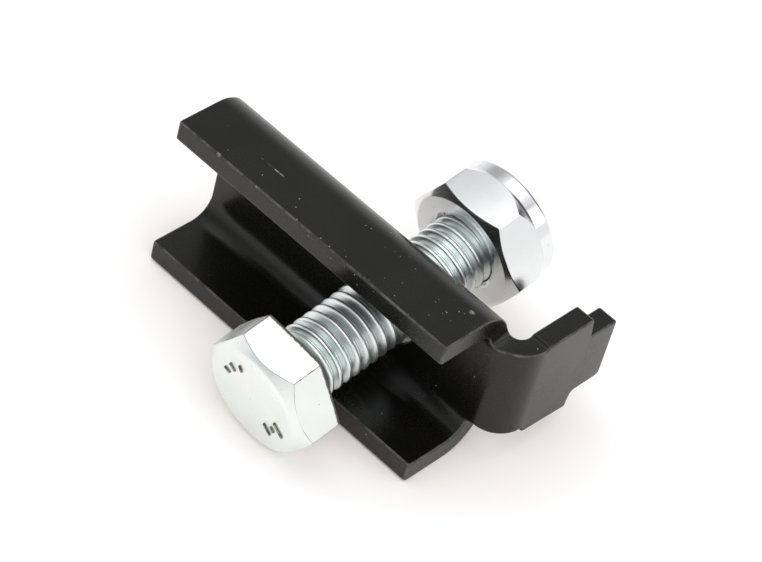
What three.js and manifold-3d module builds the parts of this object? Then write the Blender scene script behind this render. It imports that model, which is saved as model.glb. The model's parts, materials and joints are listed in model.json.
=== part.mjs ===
// Steel channel clamp with a fully threaded M10 hex bolt and a nylon-insert lock nut.
//
// Frame, in millimetres: the origin is the middle of the channel's web, on its back face. +X runs along
// the channel to the hooked tongue, +Y leaves the web towards the nut, and +Z points up.
// The bolt passes through a clearance hole in the web and hangs in it at a slant, head down.

import * as THREE from 'three';
import { mergeVertices } from 'three/addons/utils/BufferGeometryUtils.js';
import Module from 'manifold-3d';

const wasm = await Module();
wasm.setup();

// ---- driving dimensions ----------------------------------------------------------------------------

// folded channel
const SHEET = 3.0;
const CHANNEL_LENGTH = 46.5;
const CHANNEL_HEIGHT = 24.0;
const FLANGE_DEPTH = 12.75;
const BEND_INNER_RADIUS = 3.0;
const BOLT_HOLE_DIAMETER = 11.0;
const BOLT_HOLE_X = 7.1;

// tongue: the web runs past the flanges as a neck, turns back through a right angle and ends in a tip
const TONGUE_REACH = 4.95;
const TONGUE_BEND_INNER_RADIUS = 1.7;
const NECK_TOP = 7.0;
const NECK_BOTTOM = -7.1;
const NECK_FILLET_RADIUS = 0.9;
const SHOULDER_START = 2.2;
const SHOULDER_TOP = 7.3;
const SHOULDER_BOTTOM = -8.0;
const SHOULDER_BOTTOM_SLOPE = -0.06;
const SHOULDER_END = 10.6;
const TIP_END = 16.2;
const TIP_TOP = 3.85;
const TIP_BOTTOM = -5.95;
const TIP_STEP_SETBACK = 0.65;
const TIP_CORNER_RADIUS = 0.9;
const STEP_CORNER_RADIUS = 0.45;

// bolt: M10 x 1.5, 40 long, threaded up to the head
const THREAD_PITCH = 1.5;
const THREAD_CREST_RADIUS = 4.925;
const THREAD_DEPTH = 0.81;
const THREAD_CREST_WIDTH = 0.19;
const THREAD_ROOT_WIDTH = 0.375;
const THREAD_START = 1.0;
const BOLT_LENGTH = 40.0;
const BOLT_TIP_CHAMFER = 1.1;
const BOLT_NECK_LENGTH = 2.1;
const BOLT_NECK_RADIUS = 4.5;
const NECK_OVERLAP = 0.1;
const HEAD_ACROSS_FLATS = 16.0;
const HEAD_CORNER_RADIUS = 9.05;
const HEAD_HEIGHT = 6.3;
const HEAD_FACE_RADIUS = 7.2;
const HEAD_FACE_CHAMFER = 1.75;

// lock nut: nominally 17 across flats, with a round collar over the nylon ring, crimped inwards at its end
const NUT_ACROSS_FLATS = 16.8;
const NUT_CORNER_RADIUS = 9.55;
const NUT_HEIGHT = 9.4;
const NUT_FACE_RADIUS = 7.9;
const NUT_FACE_CHAMFER = 1.0;
const NUT_HEX_END = 5.2;
const NUT_SHOULDER_RADIUS = 9.2;
const NUT_SHOULDER_END = 5.95;
const COLLAR_START = 6.3;
const COLLAR_RADIUS = 8.38;
const COLLAR_END = 8.15;
const COLLAR_ROUNDING = 0.6;
const COLLAR_CRIMP_ANGLE = 69;
const CRIMP_INNER_RADIUS = 6.2;
const NUT_COUNTERSINK_RADIUS = 5.6;
const NUT_COUNTERSINK_DEPTH = 1.0;
const NUT_THREAD_LENGTH = 6.0;
const NUT_THREAD_CLEARANCE = 0.15;
const RING_POCKET_RADIUS = 7.2;
const RING_POCKET_END = 8.3;
const LIP_RADIUS = 5.9;
const RING_INNER_RADIUS = 5.15;
const RING_GAP = 0.3;

// how the loose bolt hangs in its hole, and where the head and the nut are along it
const BOLT_SLANT = THREE.MathUtils.degToRad(11.5);
const BOLT_YAW = THREE.MathUtils.degToRad(1.25);
const HEAD_SPIN = THREE.MathUtils.degToRad(5.1);
const NUT_SPIN = THREE.MathUtils.degToRad(0.5);
const HEAD_SEAT = -17.4;
const NUT_SEAT = 11.5;

// facets
const ARC_STEPS = 10;
const ROUND_STEPS = 48;
const THREAD_STEPS = 24;

// ---- helpers ---------------------------------------------------------------------------------------

const HALF_TURN = Math.PI;
const QUARTER_TURN = Math.PI / 2;

// a closed three.js geometry as a manifold solid
function solidFrom(geometry) {
  geometry.deleteAttribute('normal');
  geometry.deleteAttribute('uv');
  const merged = mergeVertices(geometry, 1e-5);
  return new wasm.Manifold(new wasm.Mesh({
    numProp: 3,
    vertProperties: new Float32Array(merged.attributes.position.array),
    triVerts: new Uint32Array(merged.index.array),
  }));
}

// a manifold solid as a three.js geometry
function geometryFrom(solid) {
  const mesh = solid.getMesh();
  const geometry = new THREE.BufferGeometry();
  geometry.setAttribute('position', new THREE.BufferAttribute(new Float32Array(mesh.vertProperties), 3));
  geometry.setIndex(new THREE.BufferAttribute(new Uint32Array(mesh.triVerts), 1));
  geometry.computeVertexNormals();
  return geometry;
}

function namedMesh(name, solid, look) {
  const mesh = new THREE.Mesh(geometryFrom(solid), new THREE.MeshStandardMaterial(look));
  mesh.name = name;
  return mesh;
}

// a straight extrusion whose outline is drawn in any two axes and pushed along the third
function extrudeAlong(axis, shape, from, to) {
  const geometry = new THREE.ExtrudeGeometry(shape, {
    depth: to - from,
    bevelEnabled: false,
    curveSegments: ARC_STEPS,
  });
  geometry.translate(0, 0, from);
  const unit = { x: new THREE.Vector3(1, 0, 0), y: new THREE.Vector3(0, 1, 0), z: new THREE.Vector3(0, 0, 1) };
  const basis = new THREE.Matrix4();
  if (axis === 'x') {
    basis.makeBasis(unit.y, unit.z, unit.x);
  }
  if (axis === 'y') {
    basis.makeBasis(unit.z, unit.x, unit.y);
  }
  geometry.applyMatrix4(basis);
  return solidFrom(geometry);
}

function rectangle(x0, y0, x1, y1) {
  const shape = new THREE.Shape();
  shape.moveTo(x0, y0);
  shape.lineTo(x1, y0);
  shape.lineTo(x1, y1);
  shape.lineTo(x0, y1);
  shape.closePath();
  return shape;
}

// a solid of revolution about +Y from [radius, height] points that start and end on the axis
function turned(points) {
  return solidFrom(new THREE.LatheGeometry(points.map(([r, y]) => new THREE.Vector2(r, y)), ROUND_STEPS));
}

// a hexagonal bar along +Y, with two corners on the X axis before it is spun
function hexBar(acrossFlats, from, to, spin) {
  const radius = acrossFlats / 2 / Math.cos(HALF_TURN / 6);
  const bar = new THREE.CylinderGeometry(radius, radius, to - from, 6, 1, false, HALF_TURN / 6);
  bar.rotateY(spin);
  bar.translate(0, (from + to) / 2, 0);
  return solidFrom(bar);
}

// ---- folded bracket --------------------------------------------------------------------------------

const HALF_LENGTH = CHANNEL_LENGTH / 2;
const HALF_HEIGHT = CHANNEL_HEIGHT / 2;
const BEND_OUTER_RADIUS = BEND_INNER_RADIUS + SHEET;
const TONGUE_FACE = HALF_LENGTH + TONGUE_REACH;

// C section drawn in Y and Z, open towards -Y
function channelSection() {
  const bendCentre = HALF_HEIGHT - BEND_OUTER_RADIUS;
  const s = new THREE.Shape();
  s.moveTo(-FLANGE_DEPTH, -HALF_HEIGHT);
  s.lineTo(-BEND_OUTER_RADIUS, -HALF_HEIGHT);
  s.absarc(-BEND_OUTER_RADIUS, -bendCentre, BEND_OUTER_RADIUS, -QUARTER_TURN, 0, false);
  s.lineTo(0, bendCentre);
  s.absarc(-BEND_OUTER_RADIUS, bendCentre, BEND_OUTER_RADIUS, 0, QUARTER_TURN, false);
  s.lineTo(-FLANGE_DEPTH, HALF_HEIGHT);
  s.lineTo(-FLANGE_DEPTH, HALF_HEIGHT - SHEET);
  s.lineTo(-BEND_OUTER_RADIUS, HALF_HEIGHT - SHEET);
  s.absarc(-BEND_OUTER_RADIUS, bendCentre, BEND_INNER_RADIUS, QUARTER_TURN, 0, true);
  s.lineTo(-SHEET, -bendCentre);
  s.absarc(-BEND_OUTER_RADIUS, -bendCentre, BEND_INNER_RADIUS, 0, -QUARTER_TURN, true);
  s.lineTo(-FLANGE_DEPTH, SHEET - HALF_HEIGHT);
  s.closePath();
  return s;
}

// plan of the neck, the right-angle bend and the tongue, drawn in X and Y
function tongueStrip() {
  const outer = TONGUE_BEND_INNER_RADIUS + SHEET;
  const bendX = TONGUE_FACE - outer;
  const bendY = TONGUE_BEND_INNER_RADIUS;
  const root = HALF_LENGTH - 2 * SHEET;
  const s = new THREE.Shape();
  s.moveTo(root, -SHEET);
  s.lineTo(bendX, -SHEET);
  s.absarc(bendX, bendY, outer, -QUARTER_TURN, 0, false);
  s.lineTo(TONGUE_FACE, TIP_END);
  s.lineTo(TONGUE_FACE - SHEET, TIP_END);
  s.lineTo(TONGUE_FACE - SHEET, bendY);
  s.absarc(bendX, bendY, TONGUE_BEND_INNER_RADIUS, 0, -QUARTER_TURN, true);
  s.lineTo(root, 0);
  s.closePath();
  return s;
}

// face of the tongue, drawn in Y and Z: a wide shoulder, then a narrower tip
function tongueFace() {
  const shoulderBottomEnd = SHOULDER_BOTTOM + SHOULDER_BOTTOM_SLOPE * (SHOULDER_END - SHOULDER_START);
  const r = STEP_CORNER_RADIUS;
  const s = new THREE.Shape();
  s.moveTo(SHOULDER_START, SHOULDER_BOTTOM);
  s.lineTo(SHOULDER_END - r, shoulderBottomEnd);
  s.quadraticCurveTo(SHOULDER_END, shoulderBottomEnd, SHOULDER_END + r / 4, shoulderBottomEnd + r);
  s.lineTo(SHOULDER_END + r / 2, TIP_BOTTOM - r);
  s.quadraticCurveTo(SHOULDER_END + r, TIP_BOTTOM, SHOULDER_END + 2.5 * r, TIP_BOTTOM);
  s.lineTo(TIP_END - TIP_CORNER_RADIUS, TIP_BOTTOM);
  s.absarc(TIP_END - TIP_CORNER_RADIUS, TIP_BOTTOM + TIP_CORNER_RADIUS, TIP_CORNER_RADIUS, -QUARTER_TURN, 0, false);
  s.lineTo(TIP_END, TIP_TOP);
  s.lineTo(SHOULDER_END + TIP_STEP_SETBACK, TIP_TOP);
  s.lineTo(SHOULDER_END, SHOULDER_TOP);
  s.lineTo(SHOULDER_START, SHOULDER_TOP);
  s.closePath();
  return s;
}

// web outline where the neck leaves the channel, in Z and X, with a fillet in both corners
function neckRoot() {
  const r = NECK_FILLET_RADIUS;
  const s = new THREE.Shape();
  s.moveTo(NECK_BOTTOM - r, HALF_LENGTH - SHEET);
  s.lineTo(NECK_TOP + r, HALF_LENGTH - SHEET);
  s.lineTo(NECK_TOP + r, HALF_LENGTH);
  s.absarc(NECK_TOP + r, HALF_LENGTH + r, r, -QUARTER_TURN, -HALF_TURN, true);
  s.lineTo(NECK_BOTTOM, HALF_LENGTH + r);
  s.absarc(NECK_BOTTOM - r, HALF_LENGTH + r, r, 0, -QUARTER_TURN, true);
  s.closePath();
  return s;
}

function clampBracket() {
  const channel = extrudeAlong('x', channelSection(), -HALF_LENGTH, HALF_LENGTH);
  const longChannel = extrudeAlong('x', channelSection(), 0, HALF_LENGTH + 2 * NECK_FILLET_RADIUS);
  const root = longChannel.intersect(extrudeAlong('y', neckRoot(), -SHEET - 1, 1));
  const strip = extrudeAlong('z', tongueStrip(), -HALF_HEIGHT, HALF_HEIGHT);
  const neckWindow = extrudeAlong('z', rectangle(0, -2 * SHEET, 2 * TONGUE_FACE, SHOULDER_START + 0.5),
    NECK_BOTTOM, NECK_TOP);
  const faceWindow = extrudeAlong('x', tongueFace(), 0, 2 * TONGUE_FACE);
  const tongue = strip.intersect(neckWindow.add(faceWindow));
  const hole = new THREE.CylinderGeometry(BOLT_HOLE_DIAMETER / 2, BOLT_HOLE_DIAMETER / 2, 4 * SHEET, ROUND_STEPS);
  hole.translate(BOLT_HOLE_X, -SHEET / 2, 0);
  return channel.add(root).add(tongue).subtract(solidFrom(hole));
}

// ---- threads ---------------------------------------------------------------------------------------

// a right-handed threaded rod about +Y, with ragged ends that an envelope trims
// grow widens its radius, for tapping a hole
function threadedRod(from, to, grow) {
  const crest = THREAD_CREST_RADIUS + grow;
  const root = crest - THREAD_DEPTH;
  const flank = (THREAD_PITCH - THREAD_CREST_WIDTH - THREAD_ROOT_WIDTH) / 2;
  const profile = [
    [0, crest],
    [THREAD_CREST_WIDTH, crest],
    [THREAD_CREST_WIDTH + flank, root],
    [THREAD_CREST_WIDTH + flank + THREAD_ROOT_WIDTH, root],
  ];
  const turns = Math.ceil((to - from) / THREAD_PITCH) + 4;
  const firstTurn = Math.floor((from - THREAD_START) / THREAD_PITCH) - 1;
  const perTurn = profile.length;
  const rows = turns * perTurn;
  const positions = [];
  const index = [];
  for (let row = 0; row <= rows; row += 1) {
    const turn = firstTurn + Math.floor(row / perTurn);
    const [offset, radius] = profile[row % perTurn];
    for (let step = 0; step < THREAD_STEPS; step += 1) {
      const angle = (2 * HALF_TURN * step) / THREAD_STEPS;
      const height = THREAD_START + turn * THREAD_PITCH + offset + (THREAD_PITCH * step) / THREAD_STEPS;
      positions.push(radius * Math.sin(angle), height, radius * Math.cos(angle));
    }
  }
  // the last step of a row meets the first step of the row one turn higher
  const at = (row, step) => (step === THREAD_STEPS
    ? (row + perTurn) * THREAD_STEPS
    : row * THREAD_STEPS + step);
  const lastRow = rows - perTurn;
  for (let row = 0; row < lastRow; row += 1) {
    for (let step = 0; step < THREAD_STEPS; step += 1) {
      index.push(at(row, step), at(row, step + 1), at(row + 1, step + 1));
      index.push(at(row, step), at(row + 1, step + 1), at(row + 1, step));
    }
  }
  const capEnd = (row, flip) => {
    const loop = [];
    for (let step = 0; step < THREAD_STEPS; step += 1) {
      loop.push(at(row, step));
    }
    for (let back = perTurn; back > 0; back -= 1) {
      loop.push(at(row + back, 0));
    }
    const centre = positions.length / 3;
    positions.push(0, positions[at(row, 0) * 3 + 1] + THREAD_PITCH / 2, 0);
    loop.forEach((vertex, i) => {
      const next = loop[(i + 1) % loop.length];
      index.push(...(flip ? [centre, next, vertex] : [centre, vertex, next]));
    });
  };
  capEnd(0, true);
  capEnd(lastRow, false);
  const geometry = new THREE.BufferGeometry();
  geometry.setAttribute('position', new THREE.Float32BufferAttribute(positions, 3));
  geometry.setIndex(index);
  return solidFrom(geometry);
}

// ---- bolt ------------------------------------------------------------------------------------------

function hexBolt() {
  const tip = HEAD_SEAT + BOLT_LENGTH;
  const faceY = HEAD_SEAT - HEAD_HEIGHT;
  const neckEnd = HEAD_SEAT + BOLT_NECK_LENGTH;
  // the thread runs out at 45 degrees into the neck, and at the tip into the chamfer
  const envelope = turned([
    [0, HEAD_SEAT - 1],
    [BOLT_NECK_RADIUS - NECK_OVERLAP, HEAD_SEAT - 1],
    [BOLT_NECK_RADIUS - NECK_OVERLAP, neckEnd - NECK_OVERLAP],
    [2 * THREAD_CREST_RADIUS, neckEnd + 2 * THREAD_CREST_RADIUS - BOLT_NECK_RADIUS],
    [2 * THREAD_CREST_RADIUS, tip - BOLT_TIP_CHAMFER - THREAD_CREST_RADIUS],
    [THREAD_CREST_RADIUS - BOLT_TIP_CHAMFER, tip],
    [0, tip],
  ]);
  const shank = threadedRod(HEAD_SEAT - 1, tip, 0).intersect(envelope);
  const neck = turned([
    [0, HEAD_SEAT - 1],
    [BOLT_NECK_RADIUS, HEAD_SEAT - 1],
    [BOLT_NECK_RADIUS, neckEnd],
    [BOLT_NECK_RADIUS - THREAD_DEPTH, neckEnd + THREAD_DEPTH],
    [0, neckEnd + THREAD_DEPTH],
  ]);
  const headEnvelope = turned([
    [0, faceY],
    [HEAD_FACE_RADIUS, faceY],
    [HEAD_CORNER_RADIUS, faceY + HEAD_FACE_CHAMFER],
    [HEAD_CORNER_RADIUS, HEAD_SEAT],
    [0, HEAD_SEAT],
  ]);
  const head = hexBar(HEAD_ACROSS_FLATS, faceY - 1, HEAD_SEAT + 1, HEAD_SPIN).intersect(headEnvelope);
  return shank.add(neck).add(head);
}

// ---- lock nut --------------------------------------------------------------------------------------

// steel body: hexagon, round collar, tapped bore, and a pocket for the nylon ring under the rolled lip
function lockNut() {
  const collarPoints = [];
  for (let i = 0; i <= 5; i += 1) {
    const angle = THREE.MathUtils.degToRad((COLLAR_CRIMP_ANGLE * i) / 5);
    collarPoints.push([
      COLLAR_RADIUS - COLLAR_ROUNDING + COLLAR_ROUNDING * Math.cos(angle),
      NUT_SEAT + COLLAR_END + COLLAR_ROUNDING * Math.sin(angle),
    ]);
  }
  const envelope = turned([
    [0, NUT_SEAT],
    [NUT_FACE_RADIUS, NUT_SEAT],
    [NUT_CORNER_RADIUS, NUT_SEAT + NUT_FACE_CHAMFER],
    [NUT_CORNER_RADIUS, NUT_SEAT + NUT_HEX_END],
    [NUT_SHOULDER_RADIUS, NUT_SEAT + NUT_SHOULDER_END],
    [COLLAR_RADIUS, NUT_SEAT + COLLAR_START],
    ...collarPoints,
    [CRIMP_INNER_RADIUS, NUT_SEAT + NUT_HEIGHT],
    [0, NUT_SEAT + NUT_HEIGHT],
  ]);
  const blank = hexBar(NUT_ACROSS_FLATS, NUT_SEAT - 1, NUT_SEAT + NUT_HEIGHT + 1, NUT_SPIN)
    .intersect(envelope);
  const minorRadius = THREAD_CREST_RADIUS - THREAD_DEPTH + NUT_THREAD_CLEARANCE;
  const threadWindow = turned([
    [0, NUT_SEAT - 1],
    [2 * THREAD_CREST_RADIUS, NUT_SEAT - 1],
    [2 * THREAD_CREST_RADIUS, NUT_SEAT + NUT_THREAD_LENGTH + 0.1],
    [0, NUT_SEAT + NUT_THREAD_LENGTH + 0.1],
  ]);
  const tap = threadedRod(NUT_SEAT - 2, NUT_SEAT + NUT_THREAD_LENGTH + 2, NUT_THREAD_CLEARANCE)
    .intersect(threadWindow);
  const bore = turned([
    [0, NUT_SEAT - 1],
    [NUT_COUNTERSINK_RADIUS + 1, NUT_SEAT - 1],
    [NUT_COUNTERSINK_RADIUS, NUT_SEAT],
    [minorRadius, NUT_SEAT + NUT_COUNTERSINK_DEPTH],
    [minorRadius, NUT_SEAT + NUT_THREAD_LENGTH],
    [RING_POCKET_RADIUS, NUT_SEAT + NUT_THREAD_LENGTH],
    [RING_POCKET_RADIUS, NUT_SEAT + RING_POCKET_END],
    [LIP_RADIUS, NUT_SEAT + RING_POCKET_END],
    [LIP_RADIUS, NUT_SEAT + NUT_HEIGHT + 1],
    [0, NUT_SEAT + NUT_HEIGHT + 1],
  ]);
  return blank.subtract(tap.add(bore));
}

// nylon ring that grips the thread, held in the nut's pocket
function nylonInsert() {
  const low = NUT_SEAT + NUT_THREAD_LENGTH + RING_GAP;
  const high = NUT_SEAT + RING_POCKET_END - RING_GAP;
  const outer = RING_POCKET_RADIUS - RING_GAP;
  return turned([
    [RING_INNER_RADIUS, low],
    [outer, low],
    [outer, high],
    [RING_INNER_RADIUS, high],
    [RING_INNER_RADIUS, low],
  ]);
}

// ---- assembly --------------------------------------------------------------------------------------

const blackPaint = { color: 0x1f1f1e, roughness: 0.45, metalness: 0.1 };
const brightZinc = { color: 0xc8cdd0, roughness: 0.28, metalness: 1.0 };
const zincNut = { color: 0xc3c9cd, roughness: 0.16, metalness: 1.0 };
const paleNylon = { color: 0xe6e3d8, roughness: 0.5, metalness: 0.0 };

const bracket = namedMesh('clamp_bracket', clampBracket(), blackPaint);

// everything on the bolt's axis shares one slanted group, whose +Y is the axis
const boltAxis = new THREE.Group();
boltAxis.position.set(BOLT_HOLE_X, -SHEET / 2, 0);
boltAxis.rotation.set(BOLT_SLANT, 0, -BOLT_YAW, 'ZXY');

const bolt = namedMesh('hex_bolt', hexBolt(), brightZinc);
const nut = namedMesh('lock_nut', lockNut(), zincNut);
const ring = namedMesh('nylon_insert', nylonInsert(), paleNylon);
boltAxis.add(bolt, nut, ring);

const channelClamp = new THREE.Group();
channelClamp.name = 'channel_clamp';
channelClamp.add(bracket, boltAxis);

export default channelClamp;
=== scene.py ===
"""Folded steel channel clamp with a slanted M10 bolt, a lock nut and its nylon ring.

Frame: the origin is the middle of the web's back face, +X runs to the hooked tongue,
+Y leaves the web towards the nut, and +Z points up. Sizes below are in metres.
"""

import json
import math

import bmesh
import bpy
import numpy as np
from mathutils import Matrix, Vector
from mathutils.geometry import delaunay_2d_cdt


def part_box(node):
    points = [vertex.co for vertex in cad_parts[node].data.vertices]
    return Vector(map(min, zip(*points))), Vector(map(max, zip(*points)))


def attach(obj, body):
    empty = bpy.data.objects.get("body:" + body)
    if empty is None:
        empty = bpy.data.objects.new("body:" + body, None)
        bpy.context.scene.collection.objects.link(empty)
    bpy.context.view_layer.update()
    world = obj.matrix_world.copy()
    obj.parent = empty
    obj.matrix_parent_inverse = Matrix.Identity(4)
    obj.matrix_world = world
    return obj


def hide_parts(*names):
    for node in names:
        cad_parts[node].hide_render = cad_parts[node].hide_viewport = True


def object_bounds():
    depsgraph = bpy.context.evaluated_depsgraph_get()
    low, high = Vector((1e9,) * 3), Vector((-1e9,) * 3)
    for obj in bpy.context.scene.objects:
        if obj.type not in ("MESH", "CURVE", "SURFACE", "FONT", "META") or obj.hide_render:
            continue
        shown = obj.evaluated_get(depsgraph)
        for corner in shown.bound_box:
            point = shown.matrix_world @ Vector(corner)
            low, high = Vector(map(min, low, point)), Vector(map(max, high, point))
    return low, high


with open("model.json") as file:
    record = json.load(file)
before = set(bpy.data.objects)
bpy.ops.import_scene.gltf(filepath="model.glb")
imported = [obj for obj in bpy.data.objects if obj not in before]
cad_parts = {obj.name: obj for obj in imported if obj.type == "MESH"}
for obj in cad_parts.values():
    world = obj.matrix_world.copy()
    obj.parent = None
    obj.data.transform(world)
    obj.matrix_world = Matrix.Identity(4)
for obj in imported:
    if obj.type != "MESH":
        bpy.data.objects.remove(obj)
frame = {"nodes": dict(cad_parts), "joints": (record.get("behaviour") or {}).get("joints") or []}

cad_low, cad_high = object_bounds()

MM = 0.001
FULL_TURN = 2 * math.pi
QUARTER_TURN = math.pi / 2

# ---- sizes -------------------------------------------------------------------------------------

bracket_low, bracket_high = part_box("clamp_bracket")
HALF_HEIGHT = bracket_high.z
FLANGE_TIP_Y = bracket_low.y
HALF_LENGTH = -bracket_low.x
TONGUE_FACE_X = bracket_high.x
TONGUE_END_Y = bracket_high.y

SHEET = 3.0 * MM
BEND_OUTER_RADIUS = 6.0 * MM
BEND_MIDDLE_RADIUS = BEND_OUTER_RADIUS - SHEET / 2
TONGUE_BEND_OUTER_RADIUS = 4.7 * MM
TONGUE_BEND_MIDDLE_RADIUS = TONGUE_BEND_OUTER_RADIUS - SHEET / 2
BOLT_HOLE_RADIUS = 5.5 * MM
BOLT_HOLE_X = 7.1 * MM
NECK_TOP = 7.0 * MM
NECK_BOTTOM = -7.1 * MM
NECK_FILLET = 0.9 * MM
NECK_DISH_END = 2.6 * MM          # how far past the channel its bend still lifts the neck's edges
SHOULDER_START_Y = 2.2 * MM
SHOULDER_TOP = 7.3 * MM
SHOULDER_BOTTOM = -8.0 * MM
SHOULDER_BOTTOM_SLOPE = -0.06
SHOULDER_END_Y = 10.6 * MM
TIP_TOP = 3.85 * MM
TIP_BOTTOM = -5.95 * MM
TIP_STEP_SETBACK = 0.65 * MM
TIP_CORNER_RADIUS = 0.9 * MM
STEP_CORNER_RADIUS = 0.45 * MM
STEP_FILLET = 0.3 * MM            # where the neck widens into the tongue's shoulders
SHOULDER_RAMP = (-0.1 * MM, 0.2 * MM)
PLATE_CORNER = 0.45 * MM          # rounding, in the flat, of the blank's other corners
SHEET_EDGE_ROUNDING = 0.28 * MM

THREAD_PITCH = 1.5 * MM
THREAD_CREST_RADIUS = 4.925 * MM
THREAD_DEPTH = 0.78 * MM
THREAD_CREST_WIDTH = 0.44 * MM
THREAD_ROOT_WIDTH = 0.2 * MM
THREAD_CREST_ROUNDING = 0.42 * MM
THREAD_ROOT_ROUNDING = 0.14 * MM
THREAD_START = 1.0 * MM

BOLT_TIP_CHAMFER = 1.1 * MM
BOLT_NECK_LENGTH = 2.1 * MM
BOLT_NECK_RADIUS = 4.5 * MM
THREAD_RUN_OUT = 1.3 * MM
HEAD_SEAT = -17.4 * MM
BOLT_TIP = 22.6 * MM
HEAD_ACROSS_FLATS = 16.0 * MM
HEAD_CORNER_RADIUS = 9.05 * MM
HEAD_CORNER_ROUNDING = 0.2 * MM
HEAD_HEIGHT = 6.3 * MM
HEAD_FACE_RADIUS = 7.2 * MM
HEAD_FACE_CHAMFER = 1.75 * MM
HEAD_FACE_BLEND = 0.45 * MM        # half the width of the soft turn from the face to its chamfer
HEAD_BACK_CHAMFER = 0.15 * MM
HEAD_SPIN = math.radians(5.1)

MARK_FIELD_RADIUS = 6.5 * MM       # the head's flat face inside its edge ring
MARK_WIDTH = 0.3 * MM
MARK_HEIGHT = 0.2 * MM
MARK_SIDE_SLOPE = 0.045 * MM       # how much narrower a tick is at its top
# plain ticks on the head's face: (x, z, length, degrees from the local +X)
MARKS = [(-4.5 * MM, 1.9 * MM, 1.1 * MM, 157), (-3.6 * MM, 3.3 * MM, 1.3 * MM, 137),
         (-2.2 * MM, 4.4 * MM, 1.1 * MM, 117), (2.8 * MM, -2.9 * MM, 1.8 * MM, -47),
         (3.7 * MM, -2.0 * MM, 1.0 * MM, -47), (4.7 * MM, -1.1 * MM, 2.3 * MM, -47)]

NUT_SEAT = 11.5 * MM
NUT_HEIGHT = 9.4 * MM
NUT_ACROSS_FLATS = 16.8 * MM
NUT_CORNER_RADIUS = 9.55 * MM
NUT_CORNER_ROUNDING = 0.3 * MM
NUT_FACE_RADIUS = 7.9 * MM
NUT_FACE_CHAMFER = 1.0 * MM
NUT_HEX_END = 4.5 * MM
NUT_SHOULDER_RADIUS = 8.85 * MM
NUT_SHOULDER_END = 5.6 * MM
COLLAR_START = 6.25 * MM
COLLAR_RADIUS = 8.38 * MM
COLLAR_END = 8.15 * MM
CRIMP_OUTER_RADIUS = 7.8 * MM
CRIMP_START = 8.73 * MM
NUT_SPIN = math.radians(0.5)
NUT_COUNTERSINK_RADIUS = 5.6 * MM
NUT_COUNTERSINK_DEPTH = 1.0 * MM
NUT_THREAD_LENGTH = 6.0 * MM
NUT_THREAD_CLEARANCE = 0.15 * MM
RING_POCKET_RADIUS = 7.2 * MM
RING_POCKET_END = 8.3 * MM
LIP_RADIUS = 5.9 * MM
RING_INNER_RADIUS = 5.15 * MM
RING_GAP = 0.3 * MM
RING_NOSE_RADIUS = 5.68 * MM        # the part of the ring that shows inside the rolled lip
RING_NOSE_RECESS = 0.4 * MM
NUT_SPIN_STATION = 16.0 * MM      # where along the axis the nut's turning joint sits

# ---- the bolt's own frame ----------------------------------------------------------------------

nut_spin = next(j for j in frame["joints"] if j["name"] == "nut_spin")
AXIS = Vector(nut_spin["axis"]).normalized()
AXIS_X = AXIS.cross(Vector((0, 0, 1))).normalized()
AXIS_Z = AXIS_X.cross(AXIS).normalized()
AXIS_ORIGIN = Vector(nut_spin["pos_m"]) - AXIS * NUT_SPIN_STATION


def from_bolt_frame(x, along, z):
    """Points given by the bolt's own X, the distance along its axis, and its own Z."""
    x, along, z = np.broadcast_arrays(x, along, z)
    return (np.array(AXIS_ORIGIN) + x[..., None] * np.array(AXIS_X)
            + along[..., None] * np.array(AXIS) + z[..., None] * np.array(AXIS_Z))


def from_bolt_axis(radius, angle, along):
    """Points at a radius, an angle from the local +Z towards +X, and a distance along the axis."""
    return from_bolt_frame(radius * np.sin(angle), along, radius * np.cos(angle))


# ---- mesh helpers ------------------------------------------------------------------------------

MERGE_DISTANCE = 2e-7
GENTLE_TURN = math.radians(6)      # between neighbouring faces, on a bend or a turned surface
SHARP_TURN = math.radians(13)      # between neighbouring faces on a rounded edge


def new_piece(name, mesh):
    piece = bpy.data.objects.new(name, mesh)
    bpy.context.scene.collection.objects.link(piece)
    return piece


def smooth_by_area(piece):
    """Smooth shading whose normals follow the large faces, so small rounded rows read as edges."""
    for polygon in piece.data.polygons:
        polygon.use_smooth = True
    modifier = piece.modifiers.new("face normals", "WEIGHTED_NORMAL")
    modifier.mode = "FACE_AREA"
    modifier.weight = 80
    modifier.keep_sharp = False


def rounded_profile(corners, steps):
    """A polyline of (x, y, rounding) corners with each rounding drawn as an arc of steps + 1 points."""
    points = [np.array(corners[0][:2], float)]
    for before, corner, after in zip(corners, corners[1:], corners[2:]):
        here = np.array(corner[:2], float)
        to_before = np.array(before[:2], float) - here
        to_after = np.array(after[:2], float) - here
        length_before, length_after = np.linalg.norm(to_before), np.linalg.norm(to_after)
        if corner[2] == 0:
            points.append(here)
            continue
        to_before /= length_before
        to_after /= length_after
        half = math.acos(max(-1.0, min(1.0, float(to_before @ to_after)))) / 2
        reach = min(corner[2] / max(math.tan(half), 1e-6), 0.48 * length_before, 0.48 * length_after)
        start, end = here + to_before * reach, here + to_after * reach
        for i in range(steps + 1):
            t = i / steps
            # a quadratic curve is close to the arc and stays well behaved on nearly straight corners
            points.append((1 - t) ** 2 * start + 2 * t * (1 - t) * here + t ** 2 * end)
    points.append(np.array(corners[-1][:2], float))
    return np.array(points)


def add_grid(verts, faces, points):
    """Adds rows x columns of points as quads that close on themselves round the columns."""
    rows, columns = points.shape[:2]
    first = sum(len(block) for block in verts)
    verts.append(points.reshape(-1, 3))
    for row in range(rows - 1):
        for column in range(columns):
            beside = (column + 1) % columns
            faces.append((first + row * columns + column, first + row * columns + beside,
                          first + (row + 1) * columns + beside, first + (row + 1) * columns + column))


def sharpness(turn):
    return min(1.0, max(0.0, (turn - GENTLE_TURN) / (SHARP_TURN - GENTLE_TURN)))


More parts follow.
